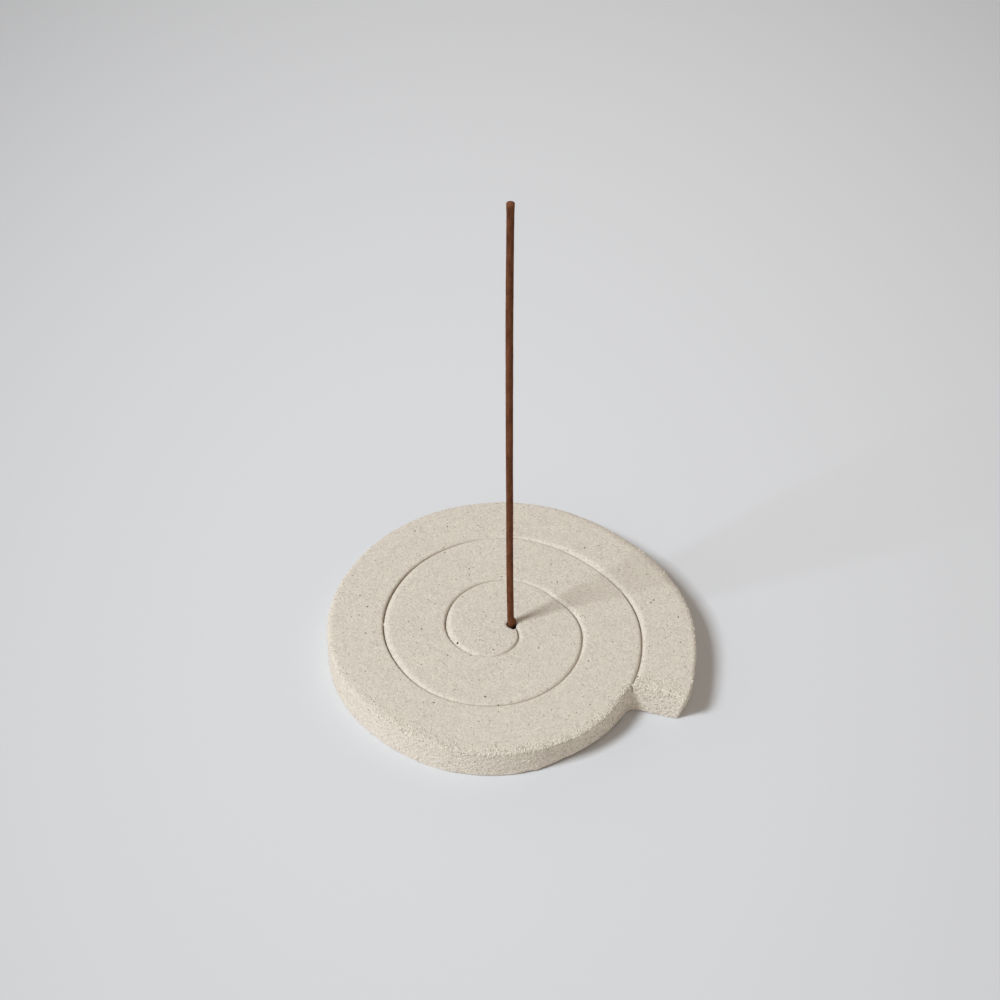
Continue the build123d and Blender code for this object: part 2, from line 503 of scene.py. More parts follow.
# Wall and floor of the socket, round again a little below the torn mouth
socket_rows = len(SOCKET_PROFILE)
socket = np.concatenate([
    SOCKET_RADIUS * SOCKET_PROFILE[:, 1, None, None] * facing(mouth_facing)[None],
    np.broadcast_to(SOCKET_PROFILE[:, 0, None, None], (socket_rows, TURN_STEPS, 1)),
], 2)

# Clay surface: broad waves from rolling, and lumps that are higher where edges were wiped
top_points = np.concatenate([top, (SLAB_THICKNESS - drop)[..., None]], 2)
skin_points = np.concatenate([top_points.reshape(-1, 3), side.reshape(-1, 3)])
skin_normal = np.concatenate([np.broadcast_to([0, 0, 1.0], (drop.size, 3)), side_normal.reshape(-1, 3)])
rough = np.concatenate([top_roughness.ravel(), np.broadcast_to(side_roughness, side_height.shape).ravel()])
rise = lumpy(skin_points, CLAY_LUMPS) + rough * lumpy(skin_points, ROUGH_LUMPS)
level = np.concatenate([np.ones(drop.size), np.clip(side_height / side_tuck, 0, 1).ravel()])
skin_points = skin_points + (rise * level)[:, None] * skin_normal
top_points = skin_points[:drop.size].reshape(top_points.shape)
side = skin_points[drop.size:].reshape(side.shape)

# Vertex numbers: the mouth ring, then the rows of the band, whose inner row is shared with the turn inside it
number = np.empty((steps, ROWS + 1), int)
number[0] = 0
number[1:, 1:] = TURN_STEPS + np.arange((steps - 1) * ROWS).reshape(steps - 1, ROWS)
number[1:TURN_STEPS, 0] = np.arange(1, TURN_STEPS)
number[TURN_STEPS:, 0] = number[:steps - TURN_STEPS, ROWS]
side_first = TURN_STEPS + (steps - 1) * ROWS
loop_number = np.concatenate([number[closing:, ROWS], number[-1, ROWS - 1:0:-1]])
side_number = side_first + np.arange(side[..., 0].size + underside[..., 0].size).reshape(-1, 2 * loop_count)
under_number = side_number.max() + 1
socket_number = under_number + 1 + np.arange(socket_rows * TURN_STEPS).reshape(socket_rows, TURN_STEPS)
socket_number = np.concatenate([np.arange(TURN_STEPS)[None], socket_number])
floor_number = socket_number.max() + 1
base_points = np.concatenate([
    top_points[:TURN_STEPS, 0],
    top_points[1:, 1:].reshape(-1, 3),
    side.reshape(-1, 3),
    underside.reshape(-1, 3),
    [[*under_middle, 0.0]],
    socket.reshape(-1, 3),
    [[0.0, 0.0, SOCKET_FLOOR]],
])


def quads(grid, closed=False):
    """Four-cornered faces between neighbouring rows and columns of a grid of vertex numbers."""
    if closed:
        grid = np.concatenate([grid, grid[:, :1]], 1)
    return np.stack([grid[:-1, :-1], grid[1:, :-1], grid[1:, 1:], grid[:-1, 1:]], -1).reshape(-1, 4)


def fan(ring, middle):
    """Triangles from each step of a closed ring of vertex numbers to one middle vertex."""
    return np.stack([ring, np.roll(ring, -1), np.full_like(ring, middle)], 1)


def double_join(ring, finer):
    """Three triangles from each step of a closed ring of vertex numbers to a ring of twice as many below."""
    following, here, middle, there = np.roll(ring, -1), finer[::2], finer[1::2], np.roll(finer[::2], -1)
    return np.concatenate([
        np.stack([middle, here, ring], 1),
        np.stack([following, middle, ring], 1),
        np.stack([there, middle, following], 1),
    ])


def place_object(name, data):
    """An object that shows some data, put into the scene."""
    shown = bpy.data.objects.new(name, data)
    bpy.context.scene.collection.objects.link(shown)
    return shown


def make_piece(name, points, faces, material):
    """A smooth-shaded mesh object from points in millimetres and lists of faces."""
    mesh = bpy.data.meshes.new(name)
    mesh.from_pydata((points * MM).tolist(), [], [face for group in faces for face in group.tolist()])
    mesh.polygons.foreach_set("use_smooth", np.ones(len(mesh.polygons), bool))
    mesh.materials.append(material)
    return place_object(name, mesh)


def put_attribute(piece, name, values):
    """Writes one number for each vertex of a piece as a named attribute."""
    piece.data.attributes.new(name, "FLOAT", "POINT").data.foreach_set("value", values.astype(np.float32))


base_faces = [
    quads(number[1:]),
    np.stack([np.zeros(ROWS, int), number[1, :-1], number[1, 1:]], 1),
    double_join(loop_number, side_number[0]),
    quads(side_number, closed=True)[:, ::-1],
    fan(side_number[-1], under_number),
    quads(socket_number, closed=True),
    fan(socket_number[-1], floor_number)[:, ::-1],
]


def matte(name, roughness, sheen):
    """A matte material, its tree of nodes and its shader."""
    material = bpy.data.materials.new(name)
    material.use_nodes = True
    shader = material.node_tree.nodes["Principled BSDF"]
    shader.inputs["Roughness"].default_value = roughness
    shader.inputs["Specular IOR Level"].default_value = sheen
    return material, material.node_tree, shader


def add_node(tree, kind, sockets, **settings):
    """Adds a shader node with its settings, and fills its sockets from numbers, colours or other outputs."""
    node = tree.nodes.new("ShaderNode" + kind)
    for setting, value in settings.items():
        setattr(node, setting, value)
    for socket, value in sockets.items():
        if isinstance(value, bpy.types.NodeSocket):
            tree.links.new(value, node.inputs[socket])
        else:
            node.inputs[socket].default_value = value
    return node


def band(tree, value, low, high, start, end):
    """Moves a value between low and high smoothly to between start and end, and holds it outside them."""
    sockets = {0: value, 1: low, 2: high, 3: start, 4: end}
    return add_node(tree, "MapRange", sockets, interpolation_type="SMOOTHSTEP").outputs[0]


def blend_colours(tree, share, first, second):
    """The first colour where the share is 0 and the second where it is 1."""
    return add_node(tree, "Mix", {0: share, 6: first, 7: second}, data_type="RGBA").outputs[2]


def calculate(tree, operation, first, second):
    """One sum, product or other operation on two values."""
    return add_node(tree, "Math", {0: first, 1: second}, operation=operation).outputs[0]


def noise(tree, place, scale, detail=3.0, roughness=0.55):
    """Cloud-like noise at a scale in features per metre."""
    return add_node(
        tree, "TexNoise", {"Vector": place, "Scale": scale, "Detail": detail, "Roughness": roughness}
    ).outputs[0]


def speckle(tree, place, scale, rarity, size, faintest, strongest):
    """Round specks, one for a few of the cells of a cell pattern, each of its own size and strength."""
    cells = add_node(tree, "TexVoronoi", {"Vector": place, "Scale": scale})
    pick = add_node(tree, "SeparateColor", {0: cells.outputs["Color"]})
    reach = band(tree, pick.outputs[0], rarity, 1.0, 0.0, size)
    shortfall = calculate(tree, "SUBTRACT", reach, cells.outputs["Distance"])
    strength = band(tree, pick.outputs[1], 0.0, 1.0, faintest, strongest)
    return calculate(tree, "MULTIPLY", band(tree, shortfall, 0.0, 0.08, 0.0, 1.0), strength)


CLAY_PINK = (0.629, 0.567, 0.500, 1)
CLAY_CREAM = (0.642, 0.590, 0.502, 1)
# Pale colour of wiped clay, which on the walls and the worn slopes is partly painted light
CLAY_WIPED_AND_LIT = (0.757, 0.697, 0.612, 1)
SAND_DARK = (0.45, 0.395, 0.335, 1)
SAND_PALE = (0.80, 0.755, 0.65, 1)
GREY_SPECK = (0.22, 0.19, 0.155, 1)
BROWN_SPECK = (0.12, 0.095, 0.072, 1)
# Painted shade: the colour that darkens the groove's cut, the socket and the underside of the rounded foot
CREASE_SHADE = (0.36, 0.29, 0.22, 1)
# Features per metre of the clay's mottling, sand, grog and specks, their strengths, and their relief
MOTTLE_SCALE = 450.0
SAND_SCALE = 2300.0
GROG_SCALE = 1500.0
GREY_SCALE = 1050.0
BROWN_SCALE = 430.0
WIPED_AND_LIT_STRENGTH = 0.55
SAND_DARK_STRENGTH = 0.42
SAND_PALE_STRENGTH = 0.36
CREASE_SHADE_STRENGTH = 0.75
SAND_HEIGHT = 0.20
GROG_HEIGHT = -0.55
CLAY_RELIEF = 0.00035

stoneware, clay, clay_shader = matte("stoneware", roughness=0.95, sheen=0.15)
clay_place = add_node(clay, "TexCoord", {}).outputs["Object"]
edge_share = add_node(clay, "Attribute", {}, attribute_name="rough_edge").outputs["Fac"]
wiped_and_lit_share = add_node(clay, "Attribute", {}, attribute_name="wiped_and_lit").outputs["Fac"]
crease_share = add_node(clay, "Attribute", {}, attribute_name="crease").outputs["Fac"]
mottle = band(clay, noise(clay, clay_place, MOTTLE_SCALE), 0.36, 0.64, 0.0, 1.0)
clay_colour = blend_colours(clay, mottle, CLAY_PINK, CLAY_CREAM)
# Paler where the clay was wiped, partly painted light on the walls and the worn slopes
wiped_and_lit_mix = calculate(clay, "MULTIPLY", wiped_and_lit_share, WIPED_AND_LIT_STRENGTH)
clay_colour = blend_colours(clay, wiped_and_lit_mix, clay_colour, CLAY_WIPED_AND_LIT)
sand = add_node(clay, "TexVoronoi", {"Vector": clay_place, "Scale": SAND_SCALE})
sand_tone = add_node(clay, "SeparateColor", {0: sand.outputs["Color"]}).outputs[0]
dark_sand = band(clay, sand_tone, 0.42, 0.0, 0.0, SAND_DARK_STRENGTH)
clay_colour = blend_colours(clay, dark_sand, clay_colour, SAND_DARK)
pale_sand = band(clay, sand_tone, 0.62, 1.0, 0.0, SAND_PALE_STRENGTH)
clay_colour = blend_colours(clay, pale_sand, clay_colour, SAND_PALE)
grey_specks = speckle(clay, clay_place, GREY_SCALE, rarity=0.30, size=0.27, faintest=0.25, strongest=0.80)
clay_colour = blend_colours(clay, grey_specks, clay_colour, GREY_SPECK)
brown_specks = speckle(clay, clay_place, BROWN_SCALE, rarity=0.62, size=0.17, faintest=0.30, strongest=0.90)
clay_colour = blend_colours(clay, brown_specks, clay_colour, BROWN_SPECK)
# Painted shade in the groove's cut, in the socket and under the rounded foot
painted_crease_shade = band(clay, crease_share, 0.60, 1.0, 0.0, CREASE_SHADE_STRENGTH)
clay_colour = blend_colours(clay, painted_crease_shade, clay_colour, CREASE_SHADE)
grog = add_node(clay, "TexVoronoi", {"Vector": clay_place, "Scale": GROG_SCALE}).outputs["Distance"]
grog_height = calculate(clay, "MULTIPLY", grog, calculate(clay, "MULTIPLY", edge_share, GROG_HEIGHT))
sand_height = calculate(clay, "SUBTRACT", 0.6, sand.outputs["Distance"])
sand_height = calculate(clay, "MULTIPLY", sand_height, SAND_HEIGHT)
clay_height = calculate(clay, "ADD", grog_height, sand_height)
clay_bump = add_node(clay, "Bump", {"Strength": 1.0, "Distance": CLAY_RELIEF, "Height": clay_height})
clay.links.new(clay_colour, clay_shader.inputs["Base Color"])
clay.links.new(clay_bump.outputs[0], clay_shader.inputs["Normal"])

base = make_piece("stoneware_spiral", base_points, base_faces, stoneware)


def point_values(on_top, on_side, below, in_socket):
    """One number per vertex of the base, in the order of its points."""
    return np.concatenate([
        on_top[:TURN_STEPS, 0], on_top[1:, 1:].ravel(), on_side.ravel(),
        np.full(under_number + 1 - side_first - on_side.size, below),
        np.full(floor_number - under_number, in_socket),
    ])


# Shares for the material: grog stands out most on the wall; pale wiped clay, partly painted light, lies on
# the rough part of the wall and on the worn slopes; painted shade darkens the groove's cut, the socket and
# the underside of the rounded foot
TOP_ROUGHNESS = 0.5
WALL_ROUGHNESS = 1.3
RIM_SMOOTHNESS = 0.8
WIPED_AND_LIT_GAIN = 2.2
WIPED_AND_LIT_LOSS = 0.6
WIPED_AND_LIT_MOST = 1.3
FULLY_WORN = 0.12
FULL_SHADE_DEPTH = 0.5
FOOT_SHADE_GAIN = 1.4
FOOT_SHADE_LOSS = 0.4
side_rough = side_roughness * (WALL_ROUGHNESS - RIM_SMOOTHNESS * np.clip(np.sin(side_slope), 0, 1))
# Paleness of wiped clay on the walls, partly painted light
side_wiped_and_lit = np.clip(WIPED_AND_LIT_GAIN * side_roughness - WIPED_AND_LIT_LOSS, 0, WIPED_AND_LIT_MOST)
side_wiped_and_lit = side_wiped_and_lit * np.clip(1 - 2 * np.sin(side_slope), 0, 1)
# Painted shade where the groove's cut runs down the wall, and under the rounded foot
side_crease = groove_depth[closing] / FULL_SHADE_DEPTH * shoulder(from_groove, CUT_WIDTH) * slot
side_crease[ROUNDING_ROWS + WALL_ROWS:] = FOOT_SHADE_GAIN * side_tuck - FOOT_SHADE_LOSS
side_crease = np.clip(side_crease, 0, 1)
# Paleness on the worn slopes beside the groove, partly painted light
top_wiped_and_lit = np.clip((drop - cut_drop) / FULLY_WORN, 0, 1)
# Painted shade in the groove's cut on the top, darker where the cut is deeper
top_crease = np.clip(cut_drop / FULL_SHADE_DEPTH, 0, 1)
put_attribute(base, "rough_edge", point_values(TOP_ROUGHNESS * top_roughness, side_rough, 0.6, 0.6))
put_attribute(base, "wiped_and_lit", point_values(top_wiped_and_lit, side_wiped_and_lit, 0.5, 0.0))
put_attribute(base, "crease", point_values(top_crease, side_crease, 0.0, 1.0))
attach(base, "base")
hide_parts("spiral_base")


# Grog grains.
# Coarse crushed clay, fired once before, that was kneaded into the stoneware to stiffen it.
# The grains are bedded in the slab, and stand out of its surface where the edges were wiped.

GROG_COUNT = 5200
GROG_SMALLEST = 0.08
GROG_LARGEST = 0.28
GROG_FLATNESS = 0.75
# Powers of the random draws: small grains outnumber large ones, and pale ones outnumber dark ones
GROG_SMALLNESS = 1.5
GROG_PALENESS = 0.7
GROG_DARK = (0.40, 0.345, 0.285, 1)
GROG_PALE = (0.84, 0.795, 0.685, 1)
FLECK_SCALE = 4000.0
FLECK_STRENGTH = 0.15
GRAIN_SIDES = 7
GRAIN_JITTER = 0.25
GRAIN_SUNK = 0.4
GRAIN_SHOULDER = 0.6
GRAIN_SHOULDER_WIDTH = 0.72
# How thickly the grog stands on the rim and on the wall, and how much more so where the clay is rough
RIM_GROG = 1.3
WALL_GROG = 0.8
ROUGH_GROG = 4


def patches(grid):
    """Corners of the four-cornered patches between neighbouring rows and columns of a grid of points."""
    return np.stack([grid[:-1, :-1], grid[1:, :-1], grid[1:, 1:], grid[:-1, 1:]], 2).reshape(-1, 4, 3)


def unit(vectors):
    """Vectors divided by their lengths."""
    return vectors / np.linalg.norm(vectors, axis=-1, keepdims=True)


def bedded_grains(places, normals, radii, flatness, chance):
    """Points and faces of grains: a jittered ring sunk into the surface, a smaller one above, two poles."""
    count = len(places)
    helper = np.where(np.abs(normals[:, 2:]) > 0.7, [[1.0, 0, 0]], [[0, 0, 1.0]])
    first = unit(np.cross(normals, helper))
    second = np.cross(normals, first)
    angle = 2 * np.pi * (np.arange(GRAIN_SIDES) / GRAIN_SIDES + chance.random((count, 1)))
    around = np.cos(angle)[..., None] * first[:, None] + np.sin(angle)[..., None] * second[:, None]
    jitter = chance.uniform(1 - GRAIN_JITTER, 1 + GRAIN_JITTER, (count, GRAIN_SIDES))
    reach = (radii[:, None] * jitter)[..., None]
    lift = (radii * flatness)[:, None] * normals
    rings = np.stack([
        places[:, None] + reach * around - GRAIN_SUNK * lift[:, None],
        places[:, None] + GRAIN_SHOULDER_WIDTH * reach * around + GRAIN_SHOULDER * lift[:, None],
    ], 1)
    poles = np.stack([places - GRAIN_SUNK * lift, places + lift], 1)
    points = np.concatenate([rings.reshape(count, -1, 3), poles], 1)
    ring = np.arange(2 * GRAIN_SIDES).reshape(2, GRAIN_SIDES)
    own = np.arange(count)[:, None, None] * points.shape[1]
    belt = quads(ring, closed=True)[:, ::-1]
    caps = np.concatenate([fan(ring[0], 2 * GRAIN_SIDES)[:, ::-1], fan(ring[1], 2 * GRAIN_SIDES + 1)])
    return points.reshape(-1, 3), [(belt + own).reshape(-1, 4), (caps + own).reshape(-1, 3)]


chance = np.random.default_rng(5)
top_patches = patches(top_points[1:])
side_patches = patches(np.concatenate([side, side[:, :1]], 1))
patch_corners = np.concatenate([top_patches, side_patches[:, ::-1]])
patch_cross = np.cross(patch_corners[:, 2] - patch_corners[:, 0], patch_corners[:, 3] - patch_corners[:, 1])
patch_area = np.linalg.norm(patch_cross, axis=1)
patch_normal = patch_cross / np.maximum(patch_area, 1e-9)[:, None]
side_row = np.broadcast_to(np.arange(len(side) - 1)[:, None], (len(side) - 1, 2 * loop_count))
side_weight = np.where(side_row < ROUNDING_ROWS, RIM_GROG, WALL_GROG)
side_weight[ROUNDING_ROWS + WALL_ROWS - 1:] = 0
patch_rough = np.concatenate([
    top_roughness[1:-1, :-1].ravel(), (side_weight * side_roughness).ravel()
]) ** ROUGH_GROG


def strewn(count, density):
    """Chosen patches of the slab, by area and density, and a random place on each."""
    share = patch_area * density
    chosen = chance.choice(len(share), count, p=share / share.sum())
    along, across = chance.random((2, count, 1))
    corners = patch_corners[chosen]
    near = corners[:, 0] * (1 - along) + corners[:, 1] * along
    far = corners[:, 3] * (1 - along) + corners[:, 2] * along
    return near * (1 - across) + far * across, patch_normal[chosen]


def grain_finish(name, dark, pale):
    """Matte grains, each of its own tone between two colours, a little mottled."""
    material, tree, shader = matte(name, roughness=0.9, sheen=0.15)
    tone = add_node(tree, "Attribute", {}, attribute_name="tone").outputs["Fac"]
    place = add_node(tree, "TexCoord", {}).outputs["Object"]
    flecks = band(tree, noise(tree, place, FLECK_SCALE), 0.3, 0.7, -FLECK_STRENGTH, FLECK_STRENGTH)
    colour = blend_colours(tree, calculate(tree, "ADD", tone, flecks), dark, pale)
    tree.links.new(colour, shader.inputs["Base Color"])
    return material


grog_place, grog_normal = strewn(GROG_COUNT, patch_rough)
grog_radius = GROG_SMALLEST + (GROG_LARGEST - GROG_SMALLEST) * chance.random(GROG_COUNT) ** GROG_SMALLNESS
grog_points, grog_faces = bedded_grains(grog_place, grog_normal, grog_radius, GROG_FLATNESS, chance)
grog_piece = make_piece("grog_grains", grog_points, grog_faces, grain_finish("grog", GROG_DARK, GROG_PALE))
put_attribute(grog_piece, "tone", np.repeat(chance.random(GROG_COUNT) ** GROG_PALENESS, 2 * GRAIN_SIDES + 2))
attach(grog_piece, "base")


# Iron specks.
# Grains of iron in the clay that bled dark in the kiln and lie nearly flat in the slab's surface.
# The larger ones are where the photograph shows them, and the smaller ones are strewn over all open sides.

IRON_COUNT = 140
IRON_SMALLEST = 0.05
IRON_LARGEST = 0.14
IRON_FLATNESS = 0.3
IRON_SMALLNESS = 2.5
IRON_DARK = (0.035, 0.028, 0.022, 1)
IRON_BROWN = (0.19, 0.145, 0.105, 1)
# Palest tone of the specks of the photograph, and how nearly a patch of clay must face the camera for them
SPOT_TONE = 0.35
SPOT_FACING = -0.1
# Iron specks at pixels of the 1000 x 1000 photograph, with their radii in millimetres
IRON_SPOTS = np.array([
    (485.9, 616.0, 0.20), (492.0, 622.0, 0.19), (501.0, 626.0, 0.17), (494.5, 632.0, 0.18),
    (457.7, 643.0, 0.42), (447.7, 655.0, 0.24), (470.8, 655.2, 0.22), (538.5, 648.0, 0.24),
    (469.3, 568.6, 0.22), (557.5, 581.8, 0.22), (567.7, 582.2, 0.18), (567.3, 575.8, 0.15),
    (555.5, 635.0, 0.20), (588.5, 661.0, 0.26), (529.9, 601.0, 0.16), (414.7, 654.0, 0.22),
    (421.0, 664.5, 0.18), (421.5, 629.0, 0.24), (454.7, 689.5, 0.22), (433.9, 702.6, 0.22),
    (368.9, 710.0, 0.22), (346.8, 674.0, 0.18), (359.0, 615.0, 0.22), (369.7, 550.7, 0.20),
    (415.2, 530.8, 0.24), (447.6, 526.5, 0.24), (468.0, 512.2, 0.22), (598.8, 545.6, 0.24),
    (582.7, 685.0, 0.20), (612.4, 641.6, 0.22), (630.2, 638.4, 0.16), (637.8, 676.8, 0.28),
    (641.4, 608.0, 0.18), (649.3, 646.5, 0.16), (650.8, 602.5, 0.26), (667.5, 626.0, 0.18),
    (678.3, 617.0, 0.28), (680.6, 642.1, 0.20), (682.0, 657.0, 0.18), (670.5, 690.8, 0.24),
    (675.1, 697.0, 0.22), (632.0, 704.0, 0.20), (618.0, 717.5, 0.20), (657.6, 708.7, 0.20),
    (634.0, 668.0, 0.16), (498.6, 705.0, 0.20), (498.7, 711.8, 0.18), (507.6, 768.0, 0.20),
    (394.0, 743.8, 0.22), (580.6, 616.4, 0.13), (582.6, 615.6, 0.15), (584.6, 617.2, 0.17),
    (585.4, 620.6, 0.12),
])

# Each speck of the photograph lies where its sight line meets the nearest patch of clay that faces the camera
patch_open = np.concatenate([np.ones(len(top_patches)), (side_weight > 0).ravel()])
spot_line = unit(sight_lines(IRON_SPOTS[:, :2]))
to_patch = patch_corners.mean(1) - camera_place
off_line = (to_patch**2).sum(1)[:, None] - (to_patch @ spot_line.T) ** 2
seen = (patch_open[:, None] > 0) & (patch_normal @ spot_line.T < SPOT_FACING)
spot_patch = np.where(seen, off_line, np.inf).argmin(0)
spot_normal = patch_normal[spot_patch]
spot_reach = (to_patch[spot_patch] * spot_normal).sum(1) / (spot_line * spot_normal).sum(1)
spot_place = camera_place + spot_reach[:, None] * spot_line
iron_place, iron_normal = strewn(IRON_COUNT, patch_open)
iron_place = np.concatenate([spot_place, iron_place])
iron_normal = np.concatenate([spot_normal, iron_normal])
iron_radius = IRON_SMALLEST + (IRON_LARGEST - IRON_SMALLEST) * chance.random(IRON_COUNT) ** IRON_SMALLNESS
iron_radius = np.concatenate([IRON_SPOTS[:, 2], iron_radius])
iron_points, iron_faces = bedded_grains(iron_place, iron_normal, iron_radius, IRON_FLATNESS, chance)
iron_piece = make_piece("iron_specks", iron_points, iron_faces, grain_finish("iron", IRON_DARK, IRON_BROWN))
iron_tone = np.concatenate([SPOT_TONE * chance.random(len(IRON_SPOTS)), chance.random(IRON_COUNT)])
put_attribute(iron_piece, "tone", np.repeat(iron_tone, 2 * GRAIN_SIDES + 2))
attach(iron_piece, "base")


# Incense stick.
# A rod of pressed incense powder, extruded and dried, so that it is bowed and a little uneven.
# It was cut with a blade and stands loose in the socket, against the far wall.

STICK_DIAMETER = 1.85
STICK_LENGTH = 147.85
STICK_BOW = 0.38
STICK_LEAN = 0.77
FOOT_GAP = 0.03
STICK_FOOT = np.array([0.03, 0.40, SOCKET_FLOOR + FOOT_GAP])
# Swelling of the rod along its length: millimetres from the foot, share of the radius
STICK_SWELL = np.array([
    (0.0, 0.93),
    (0.2, 0.97),
    (20.0, 1.00),
    (70.0, 1.00),
    (92.0, 1.02),
    (110.0, 1.035),
    (120.0, 1.03),
    (135.0, 1.005),
    (145.0, 1.00),
    (147.6, 1.09),
])
# Swaying of the rod about its bow: millimetres from the foot, millimetres towards +X
STICK_SWAY = np.array([
    (0.0, -0.05),
    (8.0, -0.08),
    (22.0, -0.13),
    (35.0, -0.08),
    (50.0, 0.0),
    (100.0, 0.03),
    (112.0, -0.01),
    (147.6, 0.05),
])
# The soft rod spread to one side where it leaned on the rim: height along the rod, turns, millimetres out,
# below and above
SPREAD_RUN = 8.0
SPREAD_TURN = 0.96
SPREAD_SIZE = 0.62
SPREAD_BELOW = 0.8
SPREAD_ABOVE = 1.2
SPREAD_FOCUS = 1.5
# Lumps of the powder, drawn out along the rod and round: height, size, seed
DRAWN_LUMPS = ((0.020, 1.1, 21),)
POWDER_LUMPS = ((0.012, 0.6, 23),)
DRAWN_OUT = 4.0
# Places of the rings at the foot's and the tip's edge: millimetres from each end
FOOT_EDGE = np.array([0.0, 0.02, 0.12])
TIP_EDGE = np.array([0.15, 0.03])
STICK_SIDES = 40
STICK_STEPS = 300

stick_run = np.concatenate([
    FOOT_EDGE[:2],
    np.linspace(FOOT_EDGE[2], STICK_LENGTH - TIP_EDGE[0], STICK_STEPS),
    STICK_LENGTH - TIP_EDGE[1:],
])
stick_share = stick_run / STICK_LENGTH
stick_axis = STICK_FOOT + np.stack([
    -STICK_LEAN * stick_share - STICK_BOW * 4 * stick_share * (1 - stick_share)
    + np.interp(stick_run, STICK_SWAY[:, 0], STICK_SWAY[:, 1]),
    0 * stick_share,
    stick_run,
], 1)
stick_turn = np.arange(STICK_SIDES) / STICK_SIDES
spread_reach = np.where(stick_run > SPREAD_RUN, SPREAD_ABOVE, SPREAD_BELOW)
spread = np.exp(-((stick_run - SPREAD_RUN) / spread_reach) ** 2)
towards_rim = 0.5 + 0.5 * np.cos(2 * np.pi * (stick_turn - SPREAD_TURN))
stick_radius = STICK_DIAMETER / 2 * np.interp(stick_run, STICK_SWELL[:, 0], STICK_SWELL[:, 1])
stick_radius = stick_radius[:, None] + SPREAD_SIZE * spread[:, None] * towards_rim**SPREAD_FOCUS
stick_points = stick_axis[:, None] + np.concatenate([
    stick_radius[..., None] * facing(stick_turn)[None],
    np.zeros((len(stick_run), STICK_SIDES, 1)),
], 2)
stick_flat = stick_points.reshape(-1, 3)
stick_swell = lumpy(stick_flat / [1, 1, DRAWN_OUT], DRAWN_LUMPS) + lumpy(stick_flat, POWDER_LUMPS)
stick_away = np.pad(np.tile(facing(stick_turn), (len(stick_run), 1)), ((0, 0), (0, 1)))
stick_flat = stick_flat + stick_swell[:, None] * stick_away
stick_number = np.arange(len(stick_flat)).reshape(len(stick_run), STICK_SIDES)
stick_ends = np.array([stick_axis[0], stick_axis[-1] + [0, 0, TIP_EDGE[1]]])
stick_faces = [
    quads(stick_number, closed=True),
    fan(stick_number[0], len(stick_flat)),
    fan(stick_number[-1], len(stick_flat) + 1)[:, ::-1],
]

INCENSE_LIGHT = (0.170, 0.064, 0.029, 1)
INCENSE_DARK = (0.086, 0.028, 0.0115, 1)
CUT_END = (0.23, 0.088, 0.045, 1)
# Painted shade of the socket, on the rod's foot
SOCKET_SHADE = (0.045, 0.020, 0.011, 1)
# Heights, in metres, between which the fresh colour of the cut comes in and the socket's painted shade goes
# out
CUT_BAND = (0.1488, 0.1497)
CUT_STRENGTH = 0.35
SOCKET_SHADE_BAND = (0.0080, 0.0096)
SOCKET_SHADE_STRENGTH = 0.6
STREAK_SCALE = 900.0
POWDER_SCALE = 3200.0
STREAK_SHARE = 0.65
STREAK_DRAWN = 0.22
POWDER_RELIEF = 0.00006

incense, powder, powder_shader = matte("pressed_incense", roughness=0.85, sheen=0.12)
powder_place = add_node(powder, "TexCoord", {}).outputs["Object"]
drawn_place = add_node(
    powder, "Mapping", {"Vector": powder_place, "Scale": (1.0, 1.0, STREAK_DRAWN)}
).outputs[0]
streaks = noise(powder, drawn_place, STREAK_SCALE, detail=4.0, roughness=0.65)
powder_grain = noise(powder, powder_place, POWDER_SCALE, detail=2.0, roughness=0.6)
streaks = calculate(powder, "MULTIPLY", streaks, STREAK_SHARE)
powder_grain = calculate(powder, "MULTIPLY", powder_grain, 1 - STREAK_SHARE)
powder_mix = calculate(powder, "ADD", streaks, powder_grain)
powder_tone = band(powder, powder_mix, 0.36, 0.64, 0.0, 1.0)
powder_colour = blend_colours(powder, powder_tone, INCENSE_DARK, INCENSE_LIGHT)
height = add_node(powder, "SeparateXYZ", {0: powder_place}).outputs[2]
fresh_cut = band(powder, height, *CUT_BAND, 0.0, CUT_STRENGTH)
powder_colour = blend_colours(powder, fresh_cut, powder_colour, CUT_END)
# Painted shade of the socket on the part of the rod that stands inside it
socket_shade = band(powder, height, *SOCKET_SHADE_BAND, SOCKET_SHADE_STRENGTH, 0.0)
powder_colour = blend_colours(powder, socket_shade, powder_colour, SOCKET_SHADE)
powder_bump = add_node(powder, "Bump", {"Strength": 1.0, "Distance": POWDER_RELIEF, "Height": powder_mix})
powder.links.new(powder_colour, powder_shader.inputs["Base Color"])
powder.links.new(powder_bump.outputs[0], powder_shader.inputs["Normal"])

stick = make_piece("incense_rod", np.concatenate([stick_flat, stick_ends]), stick_faces, incense)
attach(stick, "stick")
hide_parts("incense_stick")


# Table, light and camera.
# A pale paper sweep, darkened outwards by painted shade, that fades into a plain backdrop, under one soft
# window-like lamp from the front left, and weaker, warmer light all round, a little stronger from behind.

# The paper's colour in the middle, and the painted shade that darkens it outwards
PAPER_MIDDLE = (0.695, 0.704, 0.721, 1)
PAPER_FAR_SHADE = (0.465, 0.470, 0.480, 1)
BACKDROP = (0.470, 0.473, 0.480, 1)
FADE_FROM = 0.40
FADE_TO = 0.65
PAPER_CENTRE = np.array([0.029, 0.099])
PAPER_REACH = np.array([0.285, 0.475])
FLOOR_REACH = 8.0
LAMP_TURN = 152.5
LAMP_HEIGHT = 50.0
LAMP_DISTANCE = 2.2
LAMP_WIDTH = 0.46
LAMP_TALLNESS = 0.66
LAMP_POWER = 42.7
LAMP_COLOUR = (0.885, 0.943, 1.0)
SKY_COLOUR = (1.0, 0.895, 0.79, 1)
SKY_LOW = 1.05
SKY_HIGH = 0.11
SKY_BEHIND = 0.15
SENSOR_WIDTH = 36.0
CLIP_START = 0.01

